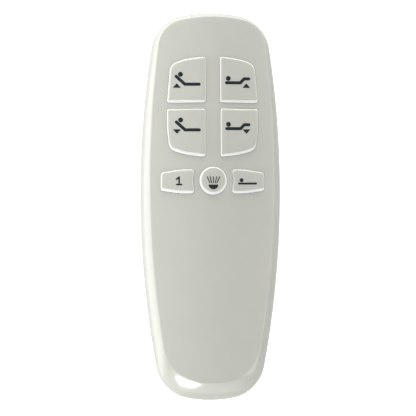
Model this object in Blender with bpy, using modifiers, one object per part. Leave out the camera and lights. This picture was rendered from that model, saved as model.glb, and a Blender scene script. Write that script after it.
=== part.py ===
"""Hand-held radio remote control for an adjustable bed, lying on its back with its keys up.

Frame: +X to the right of whoever holds it, +Y towards its head end, +Z out of its face.
The origin is on the flat of the back, halfway along the body. Lengths are in metres.
"""

from collections import namedtuple
from math import atan2, ceil, cos, pi, radians, sin, sqrt, tan

import bmesh
import bpy
from mathutils import Vector

MM = 0.001

# ---------------------------------------------------------------- driving dimensions
Outline = namedtuple(
    "Outline", "half_width widest_y side_r head_y head_r head_corner foot_y foot_r foot_corner"
)


def outline_mm(*values):
    return Outline(*(value * MM for value in values))


# The body from above is made of tangent arcs: a crown at each end, two corners and two sides.
RIM = outline_mm(29.9, 5.6, 405.0, 82.5, 58.7, 16.5, -82.5, 52.2, 16.7)
FACE = outline_mm(26.5, 12.2, 446.0, 81.0, 58.7, 12.0, -74.8, 37.6, 17.8)
BASE = outline_mm(21.5, 5.0, 380.0, 73.0, 52.0, 13.0, -72.0, 44.0, 12.0)
ARC_STEPS = {"crown": 4, "corner": 5, "side": 9}

WALL = 2.0 * MM
SEAM = 0.3 * MM
PART_Z = 11.0 * MM
LIP = 0.6 * MM
TONGUE, TONGUE_TOP_Z = 0.9 * MM, 11.9 * MM
FACE_TOP_Z = 22.0 * MM
FACE_PEAK_Y = 5.0 * MM
SIDE_DROP = 3.5 * MM
HEAD_DROP = 3.0 * MM
FOOT_DROP = 2.0 * MM
FACE_RINGS, BEVEL_STEPS = (0.3, 0.65, 1.0), 4
INNER_FACE_RINGS, INNER_BEVEL_STEPS = (0.5, 1.0), 2
BEVEL_FROM, BEVEL_TO = radians(35), radians(86)
# The shell's inside steps in by less than the wall where its surface lies flat.
FACE_INSET, BASE_INSET = 0.7, 0.6
HULL_STEPS, INNER_HULL_STEPS = 5, 3

# Keys: corners are (x, y, radius) in mm for the right-hand key, the foot-side edges first.
UPPER_KEY = (
    (3.05, 44.4, 0.9),
    (19.4, 44.2, 0.9),
    (17.95, 60.5, 4.2),
    (12.5, 62.6, 25),
    (3.05, 63.95, 1.0),
)
LOWER_KEY = (
    (3.2, 21.3, 0.9),
    (11.5, 22.2, 30),
    (18.4, 24.3, 4.2),
    (19.5, 33.0, 60),
    (19.5, 41.5, 0.9),
    (3.2, 41.85, 0.9),
)
ROW_KEY = (
    (7.85, 5.85, 1.3),
    (14.0, 5.75, 40),
    (22.15, 6.95, 1.3),
    (22.1, 14.6, 1.5),
    (13.5, 16.0, 25),
    (7.95, 16.15, 1.3),
    (8.75, 11.1, 6),
)
ROUND_KEY_R = 5.9 * MM
Key = namedtuple("Key", "name side corners foot_edges centre")
KEYS = (
    Key("head_up", -1, UPPER_KEY, 1, (11.3, 54.0)),
    Key("foot_up", 1, UPPER_KEY, 1, (11.3, 54.0)),
    Key("head_down", -1, LOWER_KEY, 2, (11.3, 32.0)),
    Key("foot_down", 1, LOWER_KEY, 2, (11.3, 32.0)),
    Key("preset", -1, ROW_KEY, 2, (15.0, 11.0)),
    Key("light", 0, None, 0, (0.0, 11.2)),
    Key("flat", 1, ROW_KEY, 2, (15.0, 11.0)),
)
OPENING_GAP = 0.35 * MM
SKIRT = 0.38 * MM
FOOT_SKIRT = 1.25 * MM
CAP_GAP = 0.12 * MM
SKIRT_PROUD = 0.35 * MM
CAP_PROUD = 0.6 * MM
CAP_CHAMFER = 0.25 * MM
TRAY_DEPTH = 0.95 * MM
SMALLEST_RADIUS = 0.3 * MM
CORNER_STEP = radians(32)
CIRCLE_POINTS = 24

# Stack under the keys, upwards from the circuit board.
BOARD_Z, BOARD_TOP_Z = 12.2 * MM, 13.4 * MM
MAT_Z, MAT_TOP_Z = 13.5 * MM, 14.5 * MM
TRAVEL = 1.0 * MM
PILL_R, PILL_H = 2.2 * MM, 0.5 * MM
PILL_Z = BOARD_TOP_Z + TRAVEL + 0.1 * MM
BOSS_R, BOSS_Z = 2.6 * MM, PILL_Z + PILL_H + 0.1 * MM
KEY_BODY_Z = 16.2 * MM
MAT_HOLE_R = 5.5 * MM

# Battery bay and door.
CELL_R, CELL_L, CELL_PITCH = 5.25 * MM, 43.3 * MM, 10.9 * MM
CELL_Z = 2.4 * MM + CELL_R
NUB_R, NUB_L = 1.9 * MM, 1.2 * MM
BAY_HALF, BAY_FOOT_Y, BAY_HEAD_Y = 18.0 * MM, -64.8 * MM, -13.8 * MM
BAY_WALL, BAY_LOW_Z, BAY_ROOF_Z = 1.0 * MM, 1.9 * MM, 13.1 * MM
CELL_MID_Y = (BAY_FOOT_Y + BAY_HEAD_Y) / 2
DOOR_HALF, DOOR_HEAD_Y, DOOR_LIP_Z, DOOR_RECESS = 16.4 * MM, -15.3 * MM, 7.0 * MM, 0.2 * MM
DOOR_GAP = 0.3 * MM
RAIL_HALF, RAIL_Z, RAIL_TOP_Z = 17.2 * MM, 2.3 * MM, 3.3 * MM
LATCH_X, LATCH_HALF, LATCH_REACH = 5.45 * MM, 1.7 * MM, 3.0 * MM
GROOVES, GROOVE_Y, GROOVE_PITCH = 4, -22.5 * MM, 2.0 * MM
GROOVE_HALF, GROOVE_WIDTH, GROOVE_TOP_Z = 6.5 * MM, 0.9 * MM, 0.8 * MM

LEAD_R, LEAD_X, LEAD_TOP_Z = 0.4 * MM, 10.9 * MM, 14.9 * MM

# Screws that close the housing, in mm: (x, y, height of the bearing face).
SCREWS = {
    "screw_head_left": (-12.0, 68.0, 6.0),
    "screw_head_right": (12.0, 68.0, 6.0),
    "screw_middle_left": (-14.0, -5.0, 6.0),
    "screw_middle_right": (14.0, -5.0, 6.0),
    "screw_foot": (0.0, -74.5, 7.4),
}
SCREW_R, SCREW_L, SCREW_HEAD_R, SCREW_HEAD_H = 1.25 * MM, 9.0 * MM, 2.4 * MM, 1.5 * MM
POST_R, COUNTERBORE_R, HOLE_R = 3.6 * MM, 2.8 * MM, 1.6 * MM
POST_TOP_Z, BOSS_BOTTOM_Z = 12.0 * MM, 12.3 * MM
FRONT_BOSS_R, FOOT_BOSS_Z, FOOT_BOSS_TOP_Z = 2.6 * MM, 9.1 * MM, 18.4 * MM

# Box-shaped parts soldered under the board, in mm: (low x, low y, high x, high y, height, material).
BOARD_PARTS = {
    "controller_chip": (-5, 18, 5, 28, 1.4, "chip_black"),
    "radio_module": (-7, 40, 7, 56, 2.4, "nickel"),
    "crystal": (9, 20, 13, 30, 3.4, "nickel"),
}
SOLDER_GAP = 0.1 * MM

# ---------------------------------------------------------------- scene and materials
COLOURS = {
    "grey_plastic": ((0.52, 0.53, 0.47), 0.25, 0.0),
    "white_silicone": ((0.88, 0.88, 0.85), 0.55, 0.0),
    "carbon": ((0.03, 0.03, 0.03), 0.8, 0.0),
    "board_green": ((0.02, 0.12, 0.05), 0.4, 0.0),
    "chip_black": ((0.02, 0.02, 0.02), 0.5, 0.0),
    "steel": ((0.6, 0.6, 0.6), 0.3, 1.0),
    "nickel": ((0.7, 0.68, 0.62), 0.25, 1.0),
    "cell_jacket": ((0.12, 0.14, 0.16), 0.35, 0.2),
}


def clear_scene():
    for obj in list(bpy.data.objects):
        bpy.data.objects.remove(obj)


def collection(name):
    made = bpy.data.collections.new(name)
    bpy.context.scene.collection.children.link(made)
    return made


def material(name):
    """The Principled material of that name, made once from COLOURS."""
    if name in bpy.data.materials:
        return bpy.data.materials[name]
    (red, green, blue), roughness, metallic = COLOURS[name]
    made = bpy.data.materials.new(name)
    made.use_nodes = True
    shader = made.node_tree.nodes["Principled BSDF"]
    shader.inputs["Base Color"].default_value = (red, green, blue, 1)
    shader.inputs["Roughness"].default_value = roughness
    shader.inputs["Metallic"].default_value = metallic
    return made


def keep(obj, name, finish):
    """Makes obj a named piece of the remote, of that finish."""
    obj.name = name
    obj.data.name = name
    if not obj.data.materials:
        obj.data.materials.append(material(finish))
    for holder in list(obj.users_collection):
        holder.objects.unlink(obj)
    REMOTE.objects.link(obj)
    return obj


def helper(obj):
    """Makes obj a shape that only a Boolean uses."""
    for holder in list(obj.users_collection):
        holder.objects.unlink(obj)
    HELPERS.objects.link(obj)
    obj.hide_render = True
    obj.display_type = "WIRE"
    return obj


def combine(obj, other, operation):
    """Adds a Boolean with other to obj."""
    helper(other)
    modifier = obj.modifiers.new(f"{operation.lower()}_{other.name}", "BOOLEAN")
    modifier.operation = operation
    modifier.solver = "EXACT"
    modifier.object = other


def cut(obj, *others):
    for other in others:
        combine(obj, other, "DIFFERENCE")


def join(obj, *others):
    for other in others:
        combine(obj, other, "UNION")


def pivot(name, place):
    """An empty that marks a moving body's place."""
    empty = bpy.data.objects.new(name, None)
    empty.location = place
    REMOTE.objects.link(empty)
    return empty


def hang(obj, parent):
    """Parents obj to an unturned empty and leaves it where it is."""
    obj.location = obj.location - parent.location
    obj.parent = parent


# ---------------------------------------------------------------- shapes
def mesh_object(name, bm, origin):
    bmesh.ops.recalc_face_normals(bm, faces=bm.faces)
    mesh = bpy.data.meshes.new(name)
    bm.to_mesh(mesh)
    bm.free()
    mesh.shade_smooth()
    mesh.set_sharp_from_angle(angle=radians(30))
    obj = bpy.data.objects.new(name, mesh)
    obj.location = origin
    bpy.context.scene.collection.objects.link(obj)
    return obj


def loft(name, rings, first_tip=None, last_tip=None, origin=Vector((0, 0, 0))):
    """A closed body through rings of equal counts. Each end is a fan to its tip, or one flat face."""
    bm = bmesh.new()
    loops = [[bm.verts.new(point - origin) for point in ring] for ring in rings]
    for near, far in zip(loops, loops[1:]):
        for i in range(len(near)):
            bm.faces.new((near[i - 1], near[i], far[i], far[i - 1]))
    for loop, tip in ((loops[0], first_tip), (loops[-1], last_tip)):
        if tip is None:
            bm.faces.new(loop)
            continue
        point = bm.verts.new(tip - origin)
        for i in range(len(loop)):
            bm.faces.new((loop[i - 1], loop[i], point))
    return mesh_object(name, bm, origin)


def box(name, low, high):
    """A box between two corners given in mm."""
    low, high = Vector(low) * MM, Vector(high) * MM
    bpy.ops.mesh.primitive_cube_add(size=1, location=(low + high) / 2)
    obj = bpy.context.active_object
    obj.name = name
    obj.scale = high - low
    bpy.ops.object.transform_apply(location=False, rotation=False, scale=True)
    return obj


def cylinder(name, x, y, low_z, high_z, radius, sides=16):
    place = (x, y, (low_z + high_z) / 2)
    bpy.ops.mesh.primitive_cylinder_add(
        vertices=sides, radius=radius, depth=high_z - low_z, location=place
    )
    obj = bpy.context.active_object
    obj.name = name
    return obj


def turned(name, profile, place, steps):
    """A profile of (radius, height) points, run from its top down, turned about its own Z."""
    bm = bmesh.new()
    points = [bm.verts.new((radius, 0, height)) for radius, height in profile]
    for upper, lower in zip(points, points[1:]):
        bm.edges.new((upper, lower))
    mesh = bpy.data.meshes.new(name)
    bm.to_mesh(mesh)
    bm.free()
    obj = bpy.data.objects.new(name, mesh)
    obj.location = place
    bpy.context.scene.collection.objects.link(obj)
    screw = obj.modifiers.new("turn", "SCREW")
    screw.steps = screw.render_steps = steps
    screw.use_merge_vertices = True
    screw.merge_threshold = 0.01 * MM
    screw.use_smooth_shade = True
    return obj


def curve_object(name, dimensions, loops, cyclic):
    """A curve with one straight-sided spline for each loop of places."""
    curve = bpy.data.curves.new(name, "CURVE")
    curve.dimensions = dimensions
    for loop in loops:
        spline = curve.splines.new("POLY")
        spline.points.add(len(loop) - 1)
        for point, place in zip(spline.points, loop):
            point.co = (*Vector(place).to_3d(), 1)
        spline.use_cyclic_u = cyclic
    obj = bpy.data.objects.new(name, curve)
    bpy.context.scene.collection.objects.link(obj)
    return obj


def plate(name, loops, low_z, high_z):
    """A flat plate: its outline, then the outlines of its holes."""
    obj = curve_object(name, "2D", loops, True)
    obj.data.fill_mode = "BOTH"
    obj.data.extrude = (high_z - low_z) / 2
    obj.location.z = (low_z + high_z) / 2
    return obj


def wire(name, route, radius):
    """A round wire along a route of places."""
    obj = curve_object(name, "3D", [route], False)
    obj.data.bevel_depth = radius
    obj.data.bevel_resolution = 1
    obj.data.use_fill_caps = True
    return obj


# ---------------------------------------------------------------- outlines
def circle(x, y, radius, count=CIRCLE_POINTS):
    angles = [2 * pi * i / count for i in range(count)]
    return [Vector((x + radius * cos(a), y + radius * sin(a))) for a in angles]


def inset(shape, depth):
    """The same tangent arcs, moved in by depth."""
    return Outline(
        shape.half_width - depth,
        shape.widest_y,
        shape.side_r - depth,
        shape.head_y - depth,
        shape.head_r - depth,
        shape.head_corner - depth,
        shape.foot_y + depth,
        shape.foot_r - depth,
        shape.foot_corner - depth,
    )


def corner_centre(crown, crown_reach, side, side_reach, end):
    """Centre of a corner arc, at set distances from the crown's and the side's centres."""
    towards_side = (side - crown).normalized()
    apart = (side - crown).length
    along = (crown_reach**2 - side_reach**2 + apart**2) / (2 * apart)
    across = towards_side.orthogonal() * sqrt(crown_reach**2 - along**2)
    foot_of_height = crown + towards_side * along
    return max(foot_of_height + across, foot_of_height - across, key=lambda place: place.y * end)


def heading(start, end):
    return atan2(end.y - start.y, end.x - start.x)


def arc(centre, radius, start, end, steps):
    """Points along an arc, without its last one."""
    angles = [start + (end - start) * i / steps for i in range(steps)]
    return [centre + Vector((cos(a), sin(a))) * radius for a in angles]


def outline_points(shape):
    """The outline counter-clockwise from the middle of its foot end."""
    side = Vector((shape.half_width - shape.side_r, shape.widest_y))
    foot = Vector((0, shape.foot_y + shape.foot_r))
    head = Vector((0, shape.head_y - shape.head_r))
    low = corner_centre(foot, shape.foot_r - shape.foot_corner, side, shape.side_r - shape.foot_corner, -1)
    high = corner_centre(head, shape.head_r - shape.head_corner, side, shape.side_r - shape.head_corner, 1)
    crown, corner, along = ARC_STEPS["crown"], ARC_STEPS["corner"], ARC_STEPS["side"]
    right = arc(foot, shape.foot_r, -pi / 2, heading(foot, low), crown)
    right += arc(low, shape.foot_corner, heading(foot, low), heading(side, low), corner)
    right += arc(side, shape.side_r, heading(side, low), heading(side, high), along)
    right += arc(high, shape.head_corner, heading(side, high), heading(head, high), corner)
    right += arc(head, shape.head_r, heading(head, high), pi / 2, crown)
    right.append(Vector((0, shape.head_y)))
    return right + [Vector((-point.x, point.y)) for point in reversed(right[1:-1])]


def rounded(corners):
    """Points round a counter-clockwise polygon whose corners are (x, y, radius)."""
    points = []
    for i, (x, y, radius) in enumerate(corners):
        here = Vector((x, y))
        arriving = (here - Vector(corners[i - 1][:2])).normalized()
        leaving = (Vector(corners[(i + 1) % len(corners)][:2]) - here).normalized()
        turn = atan2(arriving.cross(leaving), arriving.dot(leaving))
        start = here - arriving * radius * tan(abs(turn) / 2)
        side = 1 if turn > 0 else -1
        centre = start + Vector((-arriving.y, arriving.x)) * radius * side
        first = heading(centre, start)
        steps = ceil(abs(turn) / CORNER_STEP)
        angles = [first + turn * step / steps for step in range(steps + 1)]
        points += [centre + Vector((cos(a), sin(a))) * radius for a in angles]
    return points


def moved_in(corners, distances):
    """The polygon with edge i, from corner i to the next, moved inwards by distances[i]."""
    moved = []
    for i, (x, y, radius) in enumerate(corners):
        here = Vector((x, y))
        arriving = (here - Vector(corners[i - 1][:2])).normalized()
        leaving = (Vector(corners[(i + 1) % len(corners)][:2]) - here).normalized()
        one, two = distances[i - 1], distances[i]
        turn = arriving.cross(leaving)
        shift_x = (one * leaving.x - two * arriving.x) / turn
        shift_y = (one * leaving.y - two * arriving.y) / turn
        grown = radius - (one + two) / 2 * (1 if turn > 0 else -1)
        moved.append((x + shift_x, y + shift_y, max(grown, SMALLEST_RADIUS)))
    return moved


def key_outline(key, depth, foot_depth):
    """A key's outline moved in by depth, and by foot_depth along its foot-side edges."""
    if key.corners is None:
        shift = (foot_depth - depth) / 2
        return circle(0, key.centre[1] * MM + shift, ROUND_KEY_R - depth - shift)
    corners = [(x * MM, y * MM, radius * MM) for x, y, radius in key.corners]
    distances = [foot_depth if i < key.foot_edges else depth for i in range(len(corners))]
    points = rounded(moved_in(corners, distances))
    if key.side > 0:
        return points
    return [Vector((-point.x, point.y)) for point in reversed(points)]


def key_centre(key):
    return Vector((key.centre[0] * key.side * MM, key.centre[1] * MM))


# ---------------------------------------------------------------- housing
def face_z(x, y):
    """Height of the front's crowned face."""
    if y > FACE_PEAK_Y:
        drop, reach = HEAD_DROP, FACE.head_y - FACE_PEAK_Y
    else:
        drop, reach = FOOT_DROP, FACE_PEAK_Y - FACE.foot_y
    across = (x / FACE.half_width) ** 2
    along = ((y - FACE_PEAK_Y) / reach) ** 2
    return FACE_TOP_Z - SIDE_DROP * across - drop * along


def bevel_profile(share):
    """How far out and how far down the rounded bevel has come, both from 0 to 1."""
    angle = BEVEL_FROM + (BEVEL_TO - BEVEL_FROM) * share
    out = (sin(angle) - sin(BEVEL_FROM)) / (sin(BEVEL_TO) - sin(BEVEL_FROM))
    down = (cos(BEVEL_FROM) - cos(angle)) / (cos(BEVEL_FROM) - cos(BEVEL_TO))
    return out, down


def front_rings(depth, shares, steps, low_z):
    """Rings of the front's surface, depth inside its outer one, from the face's middle down to low_z."""
    face = outline_points(inset(FACE, depth * FACE_INSET))
    rim = outline_points(inset(RIM, depth))
    rings = []
    for share in shares:
        ring = [(point.x * share, FACE_PEAK_Y + (point.y - FACE_PEAK_Y) * share) for point in face]
        rings.append([Vector((x, y, face_z(x, y) - depth)) for x, y in ring])
    edge = rings[-1]
    for step in range(1, steps + 1):
        out, down = bevel_profile(step / steps)
        ring = [high.lerp(Vector((*low, high.z)), out) for high, low in zip(edge, rim)]
        rings.append([Vector((p.x, p.y, p.z + (low_z - p.z) * down)) for p in ring])
    return rings


def rear_rings(depth, steps):
    """Rings of the back's surface, depth inside its outer one, from the seam to the flat."""
    rim = outline_points(inset(RIM, depth))
    base = outline_points(inset(BASE, depth * BASE_INSET))
    top_z = PART_Z - SEAM / 2
    rings = []
    for step in range(steps + 1):
        angle = pi / 2 * step / steps
        ring = [high.lerp(low, 1 - cos(angle)) for high, low in zip(rim, base)]
        rings.append([Vector((*point, top_z + (depth - top_z) * sin(angle))) for point in ring])
    return rings


def screw_place(name):
    x, y, bearing_z = SCREWS[name]
    return Vector((x, y, bearing_z)) * MM


def seam_ring(depth, z):
    return [Vector((*point, z)) for point in outline_points(inset(RIM, depth))]


def build_front_housing():
    """Shell with a groove along the inside of its rim for the rear housing's tongue."""
    groove, groove_z = WALL - TONGUE - SEAM, TONGUE_TOP_Z + SEAM
    outer = front_rings(0, FACE_RINGS, BEVEL_STEPS, PART_Z + LIP)
    outer += [seam_ring(depth, PART_Z + SEAM / 2) for depth in (0, groove)]
    outer.append(seam_ring(groove, groove_z))
    inner = front_rings(WALL, INNER_FACE_RINGS, INNER_BEVEL_STEPS, groove_z)
    middle = Vector((0, FACE_PEAK_Y, FACE_TOP_Z))
    under_middle = middle - Vector((0, 0, WALL))
    shell = loft("front_housing", outer + inner[::-1], middle, under_middle)
    for name in SCREWS:
        x, y, bearing_z = screw_place(name)
        if name == "screw_foot":
            low_z, high_z = FOOT_BOSS_Z, FOOT_BOSS_TOP_Z
        else:
            low_z, high_z = BOSS_BOTTOM_Z, face_z(x, y) - WALL / 2
        pilot_top = bearing_z + SCREW_L + 0.5 * MM
        join(shell, cylinder(f"boss_{name}", x, y, low_z, high_z, FRONT_BOSS_R))
        cut(shell, cylinder(f"pilot_{name}", x, y, low_z - 1 * MM, pilot_top, HOLE_R, 12))
    for key in KEYS:
        outline = key_outline(key, -OPENING_GAP, -OPENING_GAP)
        rings = [[Vector((*point, z)) for point in outline] for z in (PART_Z, FACE_TOP_Z + 4 * MM)]
        cut(shell, loft(f"opening_{key.name}", rings))
    return keep(shell, "front_housing", "grey_plastic")


def rear_shell(name):
    """Shell with a tongue standing up along the inside of its rim."""
    outer, inner = rear_rings(0, HULL_STEPS), rear_rings(WALL, INNER_HULL_STEPS)
    root = WALL - TONGUE
    tongue = [seam_ring(root, PART_Z - SEAM / 2), seam_ring(root, TONGUE_TOP_Z)]
    inner[0] = seam_ring(WALL, TONGUE_TOP_Z)
    return loft(name, outer[::-1] + tongue + inner)


def build_bay():
    """Walls and roof round the cells, open below."""
    half, wall = BAY_HALF / MM, BAY_WALL / MM
    foot, head, floor, roof = BAY_FOOT_Y / MM, BAY_HEAD_Y / MM, BAY_LOW_Z / MM, BAY_ROOF_Z / MM
    bay = box("bay", (-half - wall, foot - wall, floor), (half + wall, head + wall, roof + wall))
    cut(bay, box("bay_inside", (-half, foot, floor - 1), (half, head, roof)))
    lead, room = LEAD_X / MM, 0.8
    low, high = roof - 0.7, roof + 2
    cut(bay, box("positive_notch", (-lead - room, head - 1, low), (room - lead, head + 2, high)))
    cut(bay, box("negative_notch", (lead - room, foot + 0.1, low), (lead + room, foot + 1, high)))
    return bay


def build_rear_housing():
    shell = rear_shell("rear_housing")
    gap = DOOR_GAP / MM
    half, door_y, lip = DOOR_HALF / MM + gap, DOOR_HEAD_Y / MM, DOOR_LIP_Z / MM
    rail, rail_z, rail_top = RAIL_HALF / MM, RAIL_Z / MM, RAIL_TOP_Z / MM
    join(shell, build_bay())
    for side in (-1, 1):
        inner, outer = sorted((side * (half + 0.2), side * (rail + 1.0)))
        low_z = rail_top + gap
        join(shell, box(f"ledge_{side}", (inner, -65.3, low_z), (outer, -13.5, low_z + 1)))
    join(shell, box("foot_shelf", (-10, -80.5, 7.4), (10, -65.3, 8.8)))
    for name in list(SCREWS)[:-1]:
        x, y, bearing_z = screw_place(name)
        join(shell, cylinder(f"post_{name}", x, y, 1.0 * MM, POST_TOP_Z, POST_R))
        cut(shell, cylinder(f"counterbore_{name}", x, y, -1 * MM, bearing_z, COUNTERBORE_R))
    for name in SCREWS:
        x, y, bearing_z = screw_place(name)
        cut(shell, cylinder(f"clearance_{name}", x, y, bearing_z - 1 * MM, 20 * MM, HOLE_R, 12))
    cut(shell, box("door_floor_space", (-half, -90, -1), (half, door_y + gap, 2.15)))
    cut(shell, box("door_end_space", (-half, -90, -1), (half, -67.5, lip + gap)))
    cut(shell, box("rail_space", (-rail - gap, -90, rail_z - gap), (rail + gap, -10.8, rail_top + gap)))
    return keep(shell, "rear_housing", "grey_plastic")


def build_door(parent):
    """Floor and foot lip of the back between the rails, with its rails, latch fingers and thumb grooves."""
    door = rear_shell("battery_door")
    half, head, lip = DOOR_HALF / MM, DOOR_HEAD_Y / MM, DOOR_LIP_Z / MM
    rail, rail_z, rail_top = RAIL_HALF / MM, RAIL_Z / MM, RAIL_TOP_Z / MM
    latch_x, latch_half, reach = LATCH_X / MM, LATCH_HALF / MM, LATCH_REACH / MM
    combine(door, box("door_region", (-half, -90, DOOR_RECESS / MM), (half, head, lip)), "INTERSECT")
    for side in (-1, 1):
        near, far = sorted((side * (half - 1.2), side * (half - 0.1)))
        join(door, box(f"rail_foot_{side}", (near, -64, 1.4), (far, head - 1, rail_top - 0.2)))
        near, far = sorted((side * (half - 0.8), side * rail))
        join(door, box(f"rail_{side}", (near, -63.5, rail_z), (far, head - 1.5, rail_top)))
        near, far = latch_x * side - latch_half, latch_x * side + latch_half
        join(door, box(f"latch_root_{side}", (near, head - 1.8, 1.4), (far, head - 0.1, rail_top - 0.2)))
        near, far = near + 0.2, far - 0.2
        join(door, box(f"latch_finger_{side}", (near, head - 1.4, rail_z), (far, head + reach, rail_top)))
    across, width, top = GROOVE_HALF / MM, GROOVE_WIDTH / MM, GROOVE_TOP_Z / MM
    for number in range(GROOVES):
        y = (GROOVE_Y - GROOVE_PITCH * number) / MM
        low, high = (-across, y - width / 2, -1), (across, y + width / 2, top)
        cut(door, box(f"thumb_groove_{number}", low, high))
    keep(door, "battery_door", "grey_plastic")
    hang(door, parent)


def build_screws():
    """Pan-head self-tapping screws with a cross recess, which share one mesh."""
    tip = SCREW_L / MM
    head_r, head_h, shank = SCREW_HEAD_R / MM, SCREW_HEAD_H / MM, SCREW_R / MM
    profile = [(0, tip), (0.3, tip), (shank, tip - 1.6), (shank, 0), (head_r, 0)]
    profile += [(head_r, -0.6 * head_h), (0.6 * head_r, -head_h), (0, -head_h)]
    pattern = turned("screw_pattern", [(r * MM, z * MM) for r, z in profile], (0, 0, 0), 12)
    arm, width, depth = 0.62 * head_r, 0.3, 0.7
    cut(pattern, box("recess_x", (-arm, -width, -head_h - 1), (arm, width, depth - head_h)))
    cut(pattern, box("recess_y", (-width, -arm, -head_h - 1), (width, arm, depth - head_h)))
    graph = bpy.context.evaluated_depsgraph_get()
    shared = bpy.data.meshes.new_from_object(pattern.evaluated_get(graph))
    helper(pattern)
    for name in SCREWS:
        screw = bpy.data.objects.new(name, shared)
        screw.location = screw_place(name) - Vector((0, 0, 0.3 * MM))
        keep(screw, name, "steel")


# ---------------------------------------------------------------- keys
def ring_on_face(outline, proud):
    return [Vector((*point, face_z(*point) + proud)) for point in outline]


def flat_ring(outline, z):
    return [Vector((*point, z)) for point in outline]


def shrunk(outline, centre, share):
    return [centre + (point - centre) * share for point in outline]


def build_key_body(key, origin):
    """Silicone tray that carries the cap: its rim shows round the cap, its boss holds the pill."""
    centre = key_centre(key)
    skirt = key_outline(key, 0, 0)
    inner = key_outline(key, SKIRT - CAP_GAP, FOOT_SKIRT - CAP_GAP)
    boss = [centre + (point - centre).normalized() * BOSS_R for point in skirt]
    rings = [flat_ring(boss, BOSS_Z), flat_ring(boss, KEY_BODY_Z), flat_ring(skirt, KEY_BODY_Z)]
    rings += [ring_on_face(skirt, 0), ring_on_face(inner, SKIRT_PROUD), ring_on_face(inner, -TRAY_DEPTH)]
    floor = Vector((*centre, face_z(*centre) - TRAY_DEPTH))
    return loft(f"key_body_{key.name}", rings, None, floor, origin)


def build_cap(key, origin):
    """Hard cap glued into the tray, standing proud of the face and following its crown."""
    centre = key_centre(key)
    outline = key_outline(key, SKIRT, FOOT_SKIRT)
    top = key_outline(key, SKIRT + CAP_CHAMFER, FOOT_SKIRT + CAP_CHAMFER)
    under = CAP_GAP - TRAY_DEPTH
    rings = [ring_on_face(outline, under), ring_on_face(outline, CAP_PROUD - CAP_CHAMFER)]
    rings += [ring_on_face(top, CAP_PROUD), ring_on_face(shrunk(top, centre, 0.5), CAP_PROUD)]
    under_tip = Vector((*centre, face_z(*centre) + under))
    top_tip = Vector((*centre, face_z(*centre) + CAP_PROUD))
    return loft(f"cap_{key.name}", rings, under_tip, top_tip, origin)


def build_web(key):
    """Thin silicone cone that springs the key up from the mat."""
    profile = [(3.8, 15.9), (4.3, 15.9), (5.15, 14.0), (5.15, 13.6), (4.6, 13.6), (3.8, 15.4), (3.8, 15.9)]
    place = (*key_centre(key), 0)
    web = turned(f"web_{key.name}", [(r * MM, z * MM) for r, z in profile], place, 12)
    keep(web, f"web_{key.name}", "white_silicone")


def build_key(key):
    centre = key_centre(key)
    parent = pivot(f"press_{key.name}", (*centre, face_z(*centre)))
    origin = parent.location.copy()
    body = keep(build_key_body(key, origin), f"key_body_{key.name}", "white_silicone")
    cap = keep(build_cap(key, origin), f"cap_{key.name}", "grey_plastic")
    pill = cylinder(f"pill_{key.name}", *centre, PILL_Z, PILL_Z + PILL_H, PILL_R, 12)
    keep(pill, f"pill_{key.name}", "carbon")
    for piece in (body, cap, pill):
        hang(piece, parent)
    build_web(key)


def mirrored(right):
    """A counter-clockwise outline from the (x, y, radius) corners of its right half, in mm."""
    left = [(-x, y, radius) for x, y, radius in reversed(right)]
    return rounded([(x * MM, y * MM, radius * MM) for x, y, radius in list(right) + left])


def build_mat():
    edge = mirrored([(21.6, 3.0, 3), (21.6, 18.5, 3), (19.0, 22.5, 3), (19.0, 65.0, 8)])
    holes = [circle(*key_centre(key), MAT_HOLE_R, 16) for key in KEYS]
    keep(plate("keypad_mat", [edge, *holes], MAT_Z, MAT_TOP_Z), "keypad_mat", "white_silicone")


# ---------------------------------------------------------------- electronics
def build_board():
    edge = mirrored([(20.0, -11.0, 2), (20.5, 64.8, 10)])
    places = [screw_place(name) for name in ("screw_middle_left", "screw_middle_right")]
    holes = [circle(place.x, place.y, FRONT_BOSS_R + 0.4 * MM, 16) for place in places]
    keep(plate("circuit_board", [edge, *holes], BOARD_Z, BOARD_TOP_Z), "circuit_board", "board_green")


def build_parts_on_board():
    """Parts soldered under the board, a little clear of it."""
    under = (BOARD_Z - SOLDER_GAP) / MM
    for name, (low_x, low_y, high_x, high_y, height, finish) in BOARD_PARTS.items():
        keep(box(name, (low_x, low_y, under - height), (high_x, high_y, under)), name, finish)
    capacitor = cylinder("capacitor", -12 * MM, 14 * MM, (under - 5.5) * MM, under * MM, 2.5 * MM)
    keep(capacitor, "capacitor", "chip_black")
    turns, count, radius = 4, 32, 1.9
    angles = [2 * pi * turns * i / count for i in range(count + 1)]
    coil = [
        (radius * sin(a), 44 + 12 * a / angles[-1], under - 3 - radius * cos(a)) for a in angles
    ]
    route = [Vector(((13 + x) * MM, y * MM, z * MM)) for x, y, z in coil]
    keep(wire("antenna_coil", route, 0.3 * MM), "antenna_coil", "nickel")


# ---------------------------------------------------------------- cells and contacts
def cell_x(number):
    return (number - 1) * CELL_PITCH


def build_cells():
    """Three AAA cells side by side; the middle one points its nub at the foot."""
    case, nub = CELL_R / MM, NUB_R / MM
    half, nub_l = CELL_L / MM / 2, NUB_L / MM
    profile = [(0, half + nub_l), (nub, half + nub_l), (nub, half), (case - 0.4, half), (case, half - 0.4)]
    profile += [(case, 0.4 - half), (case - 0.4, -half), (0, -half)]
    for number in range(3):
        place = (cell_x(number), CELL_MID_Y, CELL_Z)
        cell = turned(f"cell_{number + 1}", [(r * MM, z * MM) for r, z in profile], place, 18)
        cell.rotation_euler.x = pi / 2 if number == 1 else -pi / 2
        keep(cell, f"cell_{number + 1}", "cell_jacket")


def contact_plate(name, low_x, high_x, end):
    """A contact plate against the bay's wall at its head end (1) or foot end (-1)."""
    wall_y = (BAY_HEAD_Y if end > 0 else BAY_FOOT_Y) / MM - 0.2 * end
    near, far = sorted((wall_y, wall_y - 0.4 * end))
    keep(box(name, (low_x, near, 4.0), (high_x, far, 12.2)), name, "nickel")


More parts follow.
